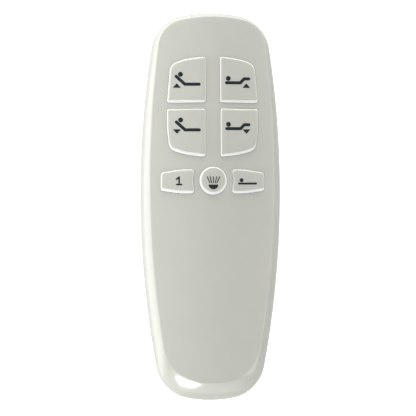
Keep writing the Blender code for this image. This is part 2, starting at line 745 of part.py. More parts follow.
def contact_spring(name, number, end):
    """A conical spring between a plate and the flat end of a cell."""
    wall_y = (BAY_HEAD_Y if end > 0 else BAY_FOOT_Y) / MM - 1.2 * end
    cell_end = CELL_MID_Y / MM + end * CELL_L / MM / 2 + 0.6 * end
    turns, count = 2.5, 20
    route = []
    for i in range(count + 1):
        share = i / count
        angle, radius = 2 * pi * turns * share, 3.6 - 1.6 * share
        x, z = radius * cos(angle), radius * sin(angle)
        y = wall_y + (cell_end - wall_y) * share
        route.append(Vector((cell_x(number) + x * MM, y * MM, CELL_Z + z * MM)))
    keep(wire(name, route, 0.25 * MM), name, "nickel")


def build_leads():
    """Wires from the two end contacts to the board, over the roof of the bay."""
    lead, top = LEAD_X / MM, LEAD_TOP_Z / MM
    foot, head, board = BAY_FOOT_Y / MM + 0.45, BAY_HEAD_Y / MM - 0.45, BOARD_TOP_Z / MM + 0.6
    positive = [(-lead, head, 12.5), (-lead, head, 13.4), (-lead, head + 0.5, 13.9)]
    positive += [(-lead, head + 2.5, board + 0.3), (-lead, -10.0, board)]
    negative = [(lead, foot, 12.5), (lead, foot, top - 0.6), (lead, foot + 0.6, top)]
    negative += [(lead, -13.0, top), (lead, -11.5, top - 0.4), (lead, -10.0, board)]
    for name, route in (("lead_positive", positive), ("lead_negative", negative)):
        keep(wire(name, [Vector(point) * MM for point in route], LEAD_R), name, "chip_black")


def build_contacts():
    pitch = CELL_PITCH / MM
    contact_plate("contact_positive", -pitch - 4, -pitch + 4, 1)
    contact_plate("contact_link_head", -4, pitch + 4, 1)
    contact_plate("contact_link_foot", -pitch - 4, 4, -1)
    contact_plate("contact_negative", pitch - 4, pitch + 4, -1)
    contact_spring("spring_1", 0, -1)
    contact_spring("spring_2", 1, 1)
    contact_spring("spring_3", 2, -1)
    build_leads()


def main():
    build_front_housing()
    build_rear_housing()
    build_door(pivot("door_slide", (0, DOOR_HEAD_Y, 0)))
    build_screws()
    for key in KEYS:
        build_key(key)
    build_mat()
    build_board()
    build_parts_on_board()
    build_cells()
    build_contacts()


clear_scene()
REMOTE = collection("bed_remote")
HELPERS = collection("boolean_helpers")
main()
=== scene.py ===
"""Looks of the bed remote: fine shells, keys with printed symbols, materials, floor, lights and camera."""

from collections import namedtuple
from math import atan2, ceil, cos, pi, radians, sin, sqrt, tan

import bmesh
import bpy
from mathutils import Matrix, Vector, geometry, kdtree


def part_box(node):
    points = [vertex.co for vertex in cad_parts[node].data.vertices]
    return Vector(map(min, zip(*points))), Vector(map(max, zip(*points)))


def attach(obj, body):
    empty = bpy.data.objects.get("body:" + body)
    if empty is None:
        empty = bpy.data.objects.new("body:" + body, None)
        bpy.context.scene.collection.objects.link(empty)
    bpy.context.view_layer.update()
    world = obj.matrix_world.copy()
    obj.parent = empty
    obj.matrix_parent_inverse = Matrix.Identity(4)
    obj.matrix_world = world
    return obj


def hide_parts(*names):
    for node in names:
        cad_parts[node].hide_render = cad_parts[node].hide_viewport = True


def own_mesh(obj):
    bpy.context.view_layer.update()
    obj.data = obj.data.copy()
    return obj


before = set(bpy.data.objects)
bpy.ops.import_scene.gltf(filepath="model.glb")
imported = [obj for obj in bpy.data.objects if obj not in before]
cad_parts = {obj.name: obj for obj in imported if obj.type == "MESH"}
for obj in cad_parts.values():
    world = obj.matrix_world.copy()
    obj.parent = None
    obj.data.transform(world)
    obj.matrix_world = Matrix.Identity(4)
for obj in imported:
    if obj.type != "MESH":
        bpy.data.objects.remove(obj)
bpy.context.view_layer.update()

MM = 0.001

# ---------------------------------------------------------------- sizes, which repeat the CAD's
Outline = namedtuple(
    "Outline", "half_width widest_y side_r head_y head_r head_corner foot_y foot_r foot_corner"
)


def outline_mm(*values):
    return Outline(*(value * MM for value in values))


RIM = outline_mm(29.9, 5.6, 405.0, 82.5, 58.7, 16.5, -82.5, 52.2, 16.7)
FACE = outline_mm(26.5, 12.2, 446.0, 81.0, 58.7, 12.0, -74.8, 37.6, 17.8)
BASE = outline_mm(21.5, 5.0, 380.0, 73.0, 52.0, 13.0, -72.0, 44.0, 12.0)
ARC_STEPS = {"crown": 12, "corner": 14, "side": 36}

WALL, SEAM, PART_Z, LIP = 2.0 * MM, 0.3 * MM, 11.0 * MM, 0.6 * MM
TONGUE, TONGUE_TOP_Z = 0.9 * MM, 11.9 * MM
FACE_TOP_Z, FACE_PEAK_Y = 22.0 * MM, 5.0 * MM
SIDE_DROP, HEAD_DROP, FOOT_DROP = 3.5 * MM, 3.0 * MM, 2.0 * MM
BEVEL_STEPS, BEVEL_FROM, BEVEL_TO = 14, radians(35), radians(86)
FACE_INSET, BASE_INSET = 0.7, 0.6
SEAM_FILLET, SEAM_CHAMFER = 0.3 * MM, 0.12 * MM
HULL_STEPS, INNER_STEPS = 16, 5
FACE_GRID, UNDER_GRID, CAP_GRID = 2.2 * MM, 6.6 * MM, 1.3 * MM
GRID_ROW, GRID_CLEAR = 0.87, 0.55

# Keys: corners are (x, y, radius) in mm for the right-hand key, the foot-side edges first.
UPPER_KEY = (
    (3.05, 44.4, 0.9),
    (19.4, 44.2, 0.9),
    (17.95, 60.5, 4.2),
    (12.5, 62.6, 25),
    (3.05, 63.95, 1.0),
)
LOWER_KEY = (
    (3.2, 21.3, 0.9),
    (11.5, 22.2, 30),
    (18.4, 24.3, 4.2),
    (19.5, 33.0, 60),
    (19.5, 41.5, 0.9),
    (3.2, 41.85, 0.9),
)
ROW_KEY = (
    (7.85, 5.85, 1.3),
    (14.0, 5.75, 40),
    (22.15, 6.95, 1.3),
    (22.1, 14.6, 1.5),
    (13.5, 16.0, 25),
    (7.95, 16.15, 1.3),
    (8.75, 11.1, 6),
)
ROUND_KEY_R = 5.9 * MM
Key = namedtuple("Key", "name side corners foot_edges centre")
KEYS = (
    Key("head_up", -1, UPPER_KEY, 1, (11.3, 54.0)),
    Key("foot_up", 1, UPPER_KEY, 1, (11.3, 54.0)),
    Key("head_down", -1, LOWER_KEY, 2, (11.3, 32.0)),
    Key("foot_down", 1, LOWER_KEY, 2, (11.3, 32.0)),
    Key("preset", -1, ROW_KEY, 2, (15.0, 11.0)),
    Key("light", 0, None, 0, (0.0, 11.2)),
    Key("flat", 1, ROW_KEY, 2, (15.0, 11.0)),
)
OPENING_GAP, OPENING_FILLET = 0.1 * MM, 0.15 * MM
SKIRT, FOOT_SKIRT, SKIRT_PROUD = 0.38 * MM, 1.25 * MM, 0.35 * MM
CAP_PROUD, CAP_FILLET, CAP_GAP, TRAY_DEPTH = 0.6 * MM, 0.25 * MM, 0.03 * MM, 0.95 * MM
KEY_BODY_Z, BOSS_Z, BOSS_R = 16.2 * MM, 15.1 * MM, 2.6 * MM
RIM_STEPS, CAP_STEPS = 6, 5
SMALLEST_RADIUS = 0.2 * MM
CORNER_STEP, LEAST_STEPS, EDGE_STEP, CIRCLE_POINTS = radians(9), 3, 1.1 * MM, 72
SIDES, CELL_SIDES, DISC_SIDES, END_STEPS = 48, 64, 28, 10

# Battery bay, door and screws, in mm.
BAY_HALF, BAY_FOOT_Y, BAY_HEAD_Y, BAY_LOW_Z, BAY_ROOF_Z = 18.0, -64.8, -13.8, 1.9, 13.1
DOOR_HALF, DOOR_HEAD_Y, DOOR_LIP_Z, DOOR_RECESS = 16.4, -15.3, 7.0, 0.2
DOOR_GAP, DOOR_FLOOR_Z, DOOR_END_Y, RAIL_SPACE_Y, BEYOND_Y = 0.3, 2.15, -67.5, -10.8, -90
RAIL_HALF, RAIL_FOOT_Y, RAIL_Z, RAIL_TOP_Z, ROOT_Z = 17.2, -63.5, 2.3, 3.3, 1.4
LATCH_X, LATCH_HALF, LATCH_REACH = 5.45, 1.7, 3.0
GROOVES, GROOVE_Y, GROOVE_PITCH = 4, -22.5, 2.0
GROOVE_HALF, GROOVE_WIDTH, GROOVE_TOP_Z = 6.5, 0.9, 0.8
SCREWS = {
    "screw_head_left": (-12.0, 68.0, 6.0),
    "screw_head_right": (12.0, 68.0, 6.0),
    "screw_middle_left": (-14.0, -5.0, 6.0),
    "screw_middle_right": (14.0, -5.0, 6.0),
    "screw_foot": (0.0, -74.5, 7.4),
}
POST_R, COUNTERBORE_R, HOLE_R, POST_TOP_Z = 3.6, 2.8, 1.6, 12.0
SHELF_HALF, SHELF_FOOT_Y, SHELF_Z, SHELF_TOP_Z = 10, -80.5, 7.4, 8.8
CELL_Z = 7.65

INK_HEIGHT = 0.03 * MM


# ---------------------------------------------------------------- outlines
def inset(shape, depth):
    """The same tangent arcs, moved in by depth."""
    return Outline(
        shape.half_width - depth,
        shape.widest_y,
        shape.side_r - depth,
        shape.head_y - depth,
        shape.head_r - depth,
        shape.head_corner - depth,
        shape.foot_y + depth,
        shape.foot_r - depth,
        shape.foot_corner - depth,
    )


def corner_centre(crown, crown_reach, side, side_reach, end):
    """Centre of a corner arc, at set distances from the crown's and the side's centres."""
    towards_side = (side - crown).normalized()
    apart = (side - crown).length
    along = (crown_reach**2 - side_reach**2 + apart**2) / (2 * apart)
    across = towards_side.orthogonal() * sqrt(crown_reach**2 - along**2)
    foot_of_height = crown + towards_side * along
    return max(foot_of_height + across, foot_of_height - across, key=lambda place: place.y * end)


def heading(start, end):
    return atan2(end.y - start.y, end.x - start.x)


def arc(centre, radius, start, end, steps):
    """Points along an arc, without its last one."""
    angles = [start + (end - start) * i / steps for i in range(steps)]
    return [centre + Vector((cos(a), sin(a))) * radius for a in angles]


def circle(x, y, radius, count=CIRCLE_POINTS):
    return arc(Vector((x, y)), radius, 0, 2 * pi, count)


def outline_points(shape):
    """The outline counter-clockwise from the middle of its foot end."""
    side = Vector((shape.half_width - shape.side_r, shape.widest_y))
    foot = Vector((0, shape.foot_y + shape.foot_r))
    head = Vector((0, shape.head_y - shape.head_r))
    low = corner_centre(foot, shape.foot_r - shape.foot_corner, side, shape.side_r - shape.foot_corner, -1)
    high = corner_centre(head, shape.head_r - shape.head_corner, side, shape.side_r - shape.head_corner, 1)
    crown, corner, along = ARC_STEPS["crown"], ARC_STEPS["corner"], ARC_STEPS["side"]
    right = arc(foot, shape.foot_r, -pi / 2, heading(foot, low), crown)
    right += arc(low, shape.foot_corner, heading(foot, low), heading(side, low), corner)
    right += arc(side, shape.side_r, heading(side, low), heading(side, high), along)
    right += arc(high, shape.head_corner, heading(side, high), heading(head, high), corner)
    right += arc(head, shape.head_r, heading(head, high), pi / 2, crown)
    right.append(Vector((0, shape.head_y)))
    return right + [Vector((-point.x, point.y)) for point in reversed(right[1:-1])]


def neighbours(corners, i):
    """Corner i, and the directions in which an edge arrives there and the next one leaves."""
    here = Vector(corners[i][:2])
    arriving = (here - Vector(corners[i - 1][:2])).normalized()
    leaving = (Vector(corners[(i + 1) % len(corners)][:2]) - here).normalized()
    return here, arriving, leaving


def rounded(corners, edge_counts):
    """Points round a counter-clockwise polygon of (x, y, radius) corners, edge i cut into edge_counts[i]."""
    arcs = []
    for i, corner in enumerate(corners):
        here, arriving, leaving = neighbours(corners, i)
        radius = corner[2]
        turn = atan2(arriving.cross(leaving), arriving.dot(leaving))
        side = 1 if turn > 0 else -1
        start = here - arriving * radius * tan(abs(turn) / 2)
        centre = start + Vector((-arriving.y, arriving.x)) * radius * side
        first = heading(centre, start)
        steps = max(LEAST_STEPS, ceil(abs(turn) / CORNER_STEP))
        angles = [first + turn * step / steps for step in range(steps + 1)]
        arcs.append([centre + Vector((cos(a), sin(a))) * radius for a in angles])
    points = []
    for i, bend in enumerate(arcs):
        points += bend
        ahead = arcs[(i + 1) % len(arcs)][0]
        count = edge_counts[i]
        points += [bend[-1].lerp(ahead, step / count) for step in range(1, count)]
    return points


def moved_in(corners, distances):
    """The polygon with edge i, from corner i to the next, moved inwards by distances[i]."""
    moved = []
    for i, (x, y, radius) in enumerate(corners):
        arriving, leaving = neighbours(corners, i)[1:]
        one, two = distances[i - 1], distances[i]
        turn = arriving.cross(leaving)
        shift_x = (one * leaving.x - two * arriving.x) / turn
        shift_y = (one * leaving.y - two * arriving.y) / turn
        grown = radius - (one + two) / 2 * (1 if turn > 0 else -1)
        moved.append((x + shift_x, y + shift_y, max(grown, SMALLEST_RADIUS)))
    return moved


def key_outline(key, depth, foot_depth):
    """A key's outline moved in by depth, and by foot_depth along its foot-side edges."""
    if key.corners is None:
        shift = (foot_depth - depth) / 2
        return circle(0, key.centre[1] * MM + shift, ROUND_KEY_R - depth - shift)
    corners = [(x * MM, y * MM, radius * MM) for x, y, radius in key.corners]
    places = [Vector(corner[:2]) for corner in corners]
    lengths = [(places[(i + 1) % len(places)] - place).length for i, place in enumerate(places)]
    distances = [foot_depth if i < key.foot_edges else depth for i in range(len(corners))]
    points = rounded(moved_in(corners, distances), [ceil(length / EDGE_STEP) for length in lengths])
    if key.side > 0:
        return points
    return [Vector((-point.x, point.y)) for point in reversed(points)]


# ---------------------------------------------------------------- surfaces
def face_z(x, y):
    """Height of the front's crowned face."""
    if y > FACE_PEAK_Y:
        drop, reach = HEAD_DROP, FACE.head_y - FACE_PEAK_Y
    else:
        drop, reach = FOOT_DROP, FACE_PEAK_Y - FACE.foot_y
    across = (x / FACE.half_width) ** 2
    along = ((y - FACE_PEAK_Y) / reach) ** 2
    return FACE_TOP_Z - SIDE_DROP * across - drop * along


def on_face(outline, height):
    return [Vector((*point, face_z(*point) + height)) for point in outline]


def at_height(outline, z):
    return [Vector((*point, z)) for point in outline]


class Skin:
    """A closed mesh made of rings of points, the bands between them and the sheets that fill them."""

    def __init__(self):
        self.bm = bmesh.new()

    def ring(self, points):
        return [self.bm.verts.new(point) for point in points]

    def bands(self, rings):
        for near, far in zip(rings, rings[1:]):
            for i in range(len(near)):
                self.bm.faces.new((near[i - 1], near[i], far[i], far[i - 1]))

    def tube(self, rings):
        """Bands through rings given as points. Returns the first and last ring."""
        made = [self.ring(points) for points in rings]
        self.bands(made)
        return made[0], made[-1]

    def cap(self, ring):
        self.bm.faces.new(ring)

    def sheet(self, edge, holes, spacing, height):
        """Fills the region inside edge and outside the holes, all rings, with a grid of that spacing."""
        loops = [edge, *holes]
        flat = [Vector(vert.co[:2]) for loop in loops for vert in loop]
        sides, start = [], 0
        for loop in loops:
            sides += [(start + i, start + (i + 1) % len(loop)) for i in range(len(loop))]
            start += len(loop)
        verts = [vert for loop in loops for vert in loop]
        for point in grid_points(flat, spacing):
            flat.append(point)
            verts.append(self.bm.verts.new((*point, height(*point))))
        made = geometry.delaunay_2d_cdt(flat, sides, [], 2, 1e-9)
        triangles, sources = made[2], made[3]
        lookup = [verts[source[0]] if source else None for source in sources]
        gaps = [[Vector(vert.co[:2]) for vert in hole] for hole in holes]
        for triangle in triangles:
            corners = [lookup[i] for i in triangle]
            middle = sum((vert.co for vert in corners), Vector()) / 3
            if not any(inside(middle, gap) for gap in gaps):
                self.bm.faces.new(corners)
        for vert in [vert for vert in verts if not vert.link_faces]:
            self.bm.verts.remove(vert)

    def finish(self, name, sharp_angle=30):
        bmesh.ops.recalc_face_normals(self.bm, faces=self.bm.faces)
        mesh = bpy.data.meshes.new(name)
        self.bm.to_mesh(mesh)
        self.bm.free()
        return piece(name, mesh, sharp_angle)


def inside(point, loop):
    """Whether a point lies within a flat loop, seen from above."""
    within = False
    for one, two in zip(loop, loop[1:] + loop[:1]):
        if (one.y > point.y) != (two.y > point.y):
            crossing = one.x + (point.y - one.y) * (two.x - one.x) / (two.y - one.y)
            if point.x < crossing:
                within = not within
    return within


def grid_points(border, spacing):
    """A triangular grid over the border's box that keeps off the border's points."""
    near = kdtree.KDTree(len(border))
    for i, point in enumerate(border):
        near.insert((*point, 0), i)
    near.balance()
    low = Vector((min(point.x for point in border), min(point.y for point in border)))
    high = Vector((max(point.x for point in border), max(point.y for point in border)))
    rows = int((high.y - low.y) / (spacing * GRID_ROW))
    columns = int((high.x - low.x) / spacing)
    points = []
    for row in range(rows + 1):
        for column in range(columns + 1):
            x = low.x + spacing * (column + 0.5 * (row % 2))
            y = low.y + spacing * GRID_ROW * row
            if near.find((x, y, 0))[2] > spacing * GRID_CLEAR:
                points.append(Vector((x, y)))
    return points


def piece(name, mesh, sharp_angle=30):
    mesh.shade_smooth()
    mesh.set_sharp_from_angle(angle=radians(sharp_angle))
    obj = bpy.data.objects.new(name, mesh)
    bpy.context.scene.collection.objects.link(obj)
    return obj


def solid(name, rings):
    """A body through rings of equal counts, with a flat face at each end."""
    skin = Skin()
    first, last = skin.tube(rings)
    skin.cap(first)
    skin.cap(last)
    return skin.finish(name)


def box(name, low, high):
    """A box between two corners given in mm."""
    bm = bmesh.new()
    bmesh.ops.create_cube(bm, size=1)
    low, high = Vector(low) * MM, Vector(high) * MM
    for vert in bm.verts:
        vert.co = (low + high) / 2 + vert.co * (high - low)
    mesh = bpy.data.meshes.new(name)
    bm.to_mesh(mesh)
    bm.free()
    return piece(name, mesh)


def cylinder(name, x, y, low_z, high_z, radius):
    """An upright cylinder with its sizes in mm."""
    ring = circle(x * MM, y * MM, radius * MM, SIDES)
    return solid(name, [at_height(ring, low_z * MM), at_height(ring, high_z * MM)])


def combined(obj, operation, *others):
    """obj after Booleans with the others, which are used up."""
    for other in others:
        modifier = obj.modifiers.new(other.name, "BOOLEAN")
        modifier.operation = operation
        modifier.solver = "EXACT"
        modifier.object = other
        graph = bpy.context.evaluated_depsgraph_get()
        mesh = bpy.data.meshes.new_from_object(obj.evaluated_get(graph))
        obj.modifiers.clear()
        obj.data = mesh
        bpy.data.objects.remove(other)
    return obj


def together(name, objects):
    """Separate bodies as one object, which a single Boolean can use."""
    bm = bmesh.new()
    for obj in objects:
        bm.from_mesh(obj.data)
        bpy.data.objects.remove(obj)
    mesh = bpy.data.meshes.new(name)
    bm.to_mesh(mesh)
    bm.free()
    return piece(name, mesh)


def turned(name, profile, steps=SIDES):
    """A profile of (radius, height) points in mm, run from top to bottom, turned about Z."""
    skin = Skin()
    rings = [at_height(circle(0, 0, radius * MM, steps), height * MM) for radius, height in profile]
    first, last = skin.tube(rings)
    skin.cap(first)
    skin.cap(last)
    return skin.finish(name)


# ---------------------------------------------------------------- housing
def bevel_profile(share):
    """How far out and how far down the rounded bevel has come, both from 0 to 1."""
    angle = BEVEL_FROM + (BEVEL_TO - BEVEL_FROM) * share
    out = (sin(angle) - sin(BEVEL_FROM)) / (sin(BEVEL_TO) - sin(BEVEL_FROM))
    down = (cos(BEVEL_FROM) - cos(angle)) / (cos(BEVEL_FROM) - cos(BEVEL_TO))
    return out, down


def bevel_rings(depth, steps, low_z):
    """The face's edge and the bevel's rings below it, depth inside the outer surface."""
    face = outline_points(inset(FACE, depth * FACE_INSET))
    rim = outline_points(inset(RIM, depth))
    edge = on_face(face, -depth)
    rings = [edge]
    for step in range(1, steps + 1):
        out, down = bevel_profile(step / steps)
        ring = [high.lerp(Vector((*low, high.z)), out) for high, low in zip(edge, rim)]
        rings.append([Vector((p.x, p.y, p.z + (low_z - p.z) * down)) for p in ring])
    return rings


def softened(before, corner, after, steps=3):
    """Rings that round a corner ring off between its neighbours."""
    rings = []
    for step in range(steps + 1):
        t = step / steps
        weights = ((1 - t) ** 2, 2 * t * (1 - t), t * t)
        trios = zip(before, corner, after)
        rings.append([a * weights[0] + b * weights[1] + c * weights[2] for a, b, c in trios])
    return rings


def seam_ring(depth, z):
    """The rim's outline, depth inside it, at a height."""
    return at_height(outline_points(inset(RIM, depth)), z)


def opening_rings(key):
    """The rounded rim and the wall of a key's opening, from the face inwards."""
    wide, true = OPENING_GAP + OPENING_FILLET, OPENING_GAP
    outer = key_outline(key, -wide, -wide)
    inner = key_outline(key, -true, -true)
    corner = on_face(inner, 0)
    rings = softened(on_face(outer, 0), corner, on_face(inner, -OPENING_FILLET))
    return rings + [on_face(inner, -WALL)]


def front_housing():
    """Shell with a crowned face, a rounded bevel and an opening for each key."""
    skin = Skin()
    outer = bevel_rings(0, BEVEL_STEPS, PART_Z + LIP)
    edge = outer[0]
    before = on_face(outline_points(inset(FACE, SEAM_FILLET)), 0)
    after = [high + (low - high).normalized() * SEAM_FILLET for high, low in zip(edge, outer[1])]
    groove, groove_z = WALL - TONGUE - SEAM, TONGUE_TOP_Z + SEAM
    rings = softened(before, edge, after) + outer[1:]
    rings += [seam_ring(depth, PART_Z + SEAM / 2) for depth in (SEAM_CHAMFER, groove)]
    rings += [seam_ring(groove, groove_z)] + bevel_rings(WALL, INNER_STEPS, groove_z)[::-1]
    face_edge, under_edge = skin.tube(rings)
    tops, bottoms = [], []
    for key in KEYS:
        top, bottom = skin.tube(opening_rings(key))
        tops.append(top)
        bottoms.append(bottom)
    skin.sheet(face_edge, tops, FACE_GRID, face_z)
    skin.sheet(under_edge, bottoms, UNDER_GRID, lambda x, y: face_z(x, y) - WALL)
    return skin.finish("front_shell")


def rear_rings(depth, steps):
    """Rings of the back's surface, depth inside its outer one, from the seam to the flat."""
    rim = outline_points(inset(RIM, depth))
    base = outline_points(inset(BASE, depth * BASE_INSET))
    top_z = PART_Z - SEAM / 2
    rings = []
    for step in range(steps + 1):
        angle = pi / 2 * step / steps
        ring = [high.lerp(low, 1 - cos(angle)) for high, low in zip(rim, base)]
        rings.append(at_height(ring, top_z + (depth - top_z) * sin(angle)))
    return rings


def rear_shell(name):
    """Shell with a softened edge at the seam and a tongue along the inside of its rim."""
    outer, inner = rear_rings(0, HULL_STEPS), rear_rings(WALL, INNER_STEPS)
    inner[0] = seam_ring(WALL, TONGUE_TOP_Z)
    root, top_z = WALL - TONGUE, PART_Z - SEAM / 2
    edge = [seam_ring(SEAM_CHAMFER, top_z), seam_ring(root, top_z), seam_ring(root, TONGUE_TOP_Z)]
    outer[0] = seam_ring(0, top_z - SEAM_CHAMFER)
    return solid(name, outer[::-1] + edge + inner)


def rear_housing():
    """Shell with the battery bay, the rails' ledges, the screw posts and the door's opening."""
    shell = rear_shell("rear_shell")
    half, rail, gap = DOOR_HALF + DOOR_GAP, RAIL_HALF + DOOR_GAP, DOOR_GAP
    foot, head, roof = BAY_FOOT_Y, BAY_HEAD_Y, BAY_ROOF_Z
    bay = box("bay", (-BAY_HALF - 1, foot - 1, BAY_LOW_Z), (BAY_HALF + 1, head + 1, roof + 1))
    bay = combined(bay, "DIFFERENCE", box("inside", (-BAY_HALF, foot, 0), (BAY_HALF, head, roof)))
    ledges = []
    for side in (-1, 1):
        near, far = sorted((side * (half + 0.2), side * (RAIL_HALF + 1.0)))
        low_z = RAIL_TOP_Z + gap
        ledges.append(box("ledge", (near, foot - 0.5, low_z), (far, head + 0.3, low_z + 1)))
    posts = [box("foot_shelf", (-SHELF_HALF, SHELF_FOOT_Y, SHELF_Z), (SHELF_HALF, foot - 0.5, SHELF_TOP_Z))]
    bores, holes = [], []
    for name, (x, y, bearing_z) in SCREWS.items():
        holes.append(cylinder("hole", x, y, bearing_z - 1, 20, HOLE_R))
        if name != "screw_foot":
            posts.append(cylinder("post", x, y, 1, POST_TOP_Z, POST_R))
            bores.append(cylinder("counterbore", x, y, -1, bearing_z, COUNTERBORE_R))
    shell = combined(shell, "UNION", bay, together("ledges", ledges), together("posts", posts))
    spaces = [
        box("floor_space", (-half, BEYOND_Y, -1), (half, DOOR_HEAD_Y + gap, DOOR_FLOOR_Z)),
        box("end_space", (-half, BEYOND_Y, -1), (half, DOOR_END_Y, DOOR_LIP_Z + gap)),
        box("rail_space", (-rail, BEYOND_Y, RAIL_Z - gap), (rail, RAIL_SPACE_Y, RAIL_TOP_Z + gap)),
    ]
    shell = combined(shell, "DIFFERENCE", together("bores", bores), together("holes", holes), *spaces)
    shell.data.set_sharp_from_angle(angle=radians(30))
    return shell


def stadium(start, end, width, step=0.6):
    """Outline, in mm, of a round-ended stroke from start to end."""
    start, end = Vector(start), Vector(end)
    along = (end - start).normalized()
    angle = atan2(along.y, along.x)
    count = max(1, ceil((end - start).length / step))
    points = arc(end, width / 2, angle - pi / 2, angle + pi / 2, END_STEPS)
    side = Vector((-along.y, along.x)) * width / 2
    points += [end.lerp(start, i / count) + side for i in range(count)]
    points += arc(start, width / 2, angle + pi / 2, angle + 3 * pi / 2, END_STEPS)
    points += [start.lerp(end, i / count) - side for i in range(count)]
    return points


def battery_door():
    """The part of the back between the rails, with its rails, latch fingers and thumb grooves."""
    door = rear_shell("door_shell")
    head, top = DOOR_HEAD_Y, RAIL_TOP_Z
    region = box("region", (-DOOR_HALF, BEYOND_Y, DOOR_RECESS), (DOOR_HALF, head, DOOR_LIP_Z))
    door = combined(door, "INTERSECT", region)
    roots, ends = [], []
    for side in (-1, 1):
        near, far = sorted((side * (DOOR_HALF - 1.2), side * (DOOR_HALF - 0.1)))
        roots.append(box("rail_foot", (near, RAIL_FOOT_Y - 0.5, ROOT_Z), (far, head - 1, top - 0.2)))
        near, far = sorted((side * (DOOR_HALF - 0.8), side * RAIL_HALF))
        ends.append(box("rail", (near, RAIL_FOOT_Y, RAIL_Z), (far, head - 1.5, top)))
        near, far = side * LATCH_X - LATCH_HALF, side * LATCH_X + LATCH_HALF
        roots.append(box("latch_root", (near, head - 1.8, ROOT_Z), (far, head - 0.1, top - 0.2)))
        near, far = near + 0.2, far - 0.2
        ends.append(box("latch", (near, head - 1.4, RAIL_Z), (far, head + LATCH_REACH, top)))
    grooves, reach = [], GROOVE_HALF - GROOVE_WIDTH / 2
    for number in range(GROOVES):
        y = GROOVE_Y - GROOVE_PITCH * number
        outline = [point * MM for point in stadium((-reach, y), (reach, y), GROOVE_WIDTH)]
        grooves.append(solid("groove", [at_height(outline, z * MM) for z in (-1, GROOVE_TOP_Z)]))
    door = combined(door, "UNION", together("roots", roots), together("ends", ends))
    door = combined(door, "DIFFERENCE", together("grooves", grooves))
    door.data.set_sharp_from_angle(angle=radians(30))
    return door


# ---------------------------------------------------------------- keys
def key_centre(key):
    return Vector((key.centre[0] * key.side * MM, key.centre[1] * MM))


# The web's section as (radius, height) in mm; its foot stands on the mat.
WEB = ((3.8, 15.9), (4.3, 15.9), (5.15, 14.0), (5.15, 13.6), (4.6, 13.6), (3.8, 15.4))
WEB_FOOT_Z, WEB_TOP_Z, TRAVEL = 13.6 * MM, 15.9 * MM, 1.0 * MM


def web(key):
    """Silicone cone that springs a key up."""
    centre = key_centre(key)
    skin = Skin()
    outlines = [at_height(circle(*centre, radius * MM, SIDES), height * MM) for radius, height in WEB]
    rings = [skin.ring(outline) for outline in outlines]
    skin.bands(rings + rings[:1])
    return skin.finish(f"spring_web_{key.name}")


def fan(skin, ring, place, height):
    """Closes a ring with triangles to a point at that height off the face."""
    tip = skin.bm.verts.new((*place, face_z(*place) + height))
    for i in range(len(ring)):
        skin.bm.faces.new((ring[i - 1], ring[i], tip))


def key_body(key):
    """White tray whose sloping rim shows round the cap, broad along its foot edges."""
    centre = key_centre(key)
    skirt = key_outline(key, 0, 0)
    boss = [centre + (point - centre).normalized() * BOSS_R for point in skirt]
    rings = [at_height(boss, BOSS_Z), at_height(boss, KEY_BODY_Z), at_height(skirt, KEY_BODY_Z)]
    rings.append(on_face(skirt, -0.3 * MM))
    for step in range(RIM_STEPS + 1):
        t = step / RIM_STEPS
        outline = key_outline(key, (SKIRT - CAP_GAP) * t, (FOOT_SKIRT - CAP_GAP) * t)
        rings.append(on_face(outline, SKIRT_PROUD * sin(t * pi / 2)))
    rings.append(on_face(outline, -TRAY_DEPTH))
    skin = Skin()
    bottom, floor = skin.tube(rings)
    skin.cap(bottom)
    fan(skin, floor, centre, -TRAY_DEPTH)
    return skin.finish(f"silicone_{key.name}", 50)


def key_cap(key):
    """Grey cap with a rounded edge, whose top follows the crown of the face."""
    under_height = 0.1 * MM - TRAY_DEPTH
    rings = [on_face(key_outline(key, SKIRT, FOOT_SKIRT), under_height)]
    for step in range(CAP_STEPS + 1):
        angle = pi / 2 * step / CAP_STEPS
        depth = CAP_FILLET * (1 - cos(angle))
        outline = key_outline(key, SKIRT + depth, FOOT_SKIRT + depth)
        rings.append(on_face(outline, CAP_PROUD - CAP_FILLET * (1 - sin(angle))))
    skin = Skin()
    under, top = skin.tube(rings)
    fan(skin, under, key_centre(key), under_height)
    skin.sheet(top, [], CAP_GRID, lambda x, y: face_z(x, y) + CAP_PROUD)
    return skin.finish(f"keytop_{key.name}")


# Printed symbols, in mm.
FIGURE_STROKE, HEAD_DOT_R, ARROW_HALF, ARROW_CORNER_R = 1.32, 1.04, 1.75, 0.12
NUMERAL_STROKE, RAY_STROKE = 0.68, 0.42
SHADE_R, SHADE_Y, SHADE_SQUASH = 2.1, 9.6, 0.96


def polyline(points, width):
    """Round-ended strokes from each point to the next."""
    return [stadium(start, end, width) for start, end in zip(points, points[1:])]


def disc(x, y, radius):
    return circle(x, y, radius, DISC_SIDES)


def triangle(x, base_y, tip_y, half_width):
    """A triangle with slightly rounded corners."""
    corners = [(x - half_width, base_y), (x + half_width, base_y), (x, tip_y)]
    corners = [(*corner, ARROW_CORNER_R) for corner in corners]
    if tip_y < base_y:
        corners.reverse()
    return rounded(corners, (5, 4, 4))


def bed_symbol(body, head, arrow_x, arrow_base_y, arrow_tip_y):
    """A lying figure with its head dot, and an arrowhead for the way its end moves."""
    arrow = triangle(arrow_x, arrow_base_y, arrow_tip_y, ARROW_HALF)
    return [*polyline(body, FIGURE_STROKE), disc(*head, HEAD_DOT_R), arrow]


def head_symbol(y, arrow_base_y, arrow_tip_y):
    body = ((-15.62, y + 3.32), (-11.96, y), (-5.96, y))
    return bed_symbol(body, (-13.81, y + 4.19), -15.37, arrow_base_y, arrow_tip_y)


def foot_symbol(y, arrow_base_y, arrow_tip_y):
    body = ((5.75, y), (11.75, y), (13.32, y + 1.66), (15.33, y + 1.66))
    return bed_symbol(body, (6.51, y + 1.84), 14.28, arrow_base_y, arrow_tip_y)


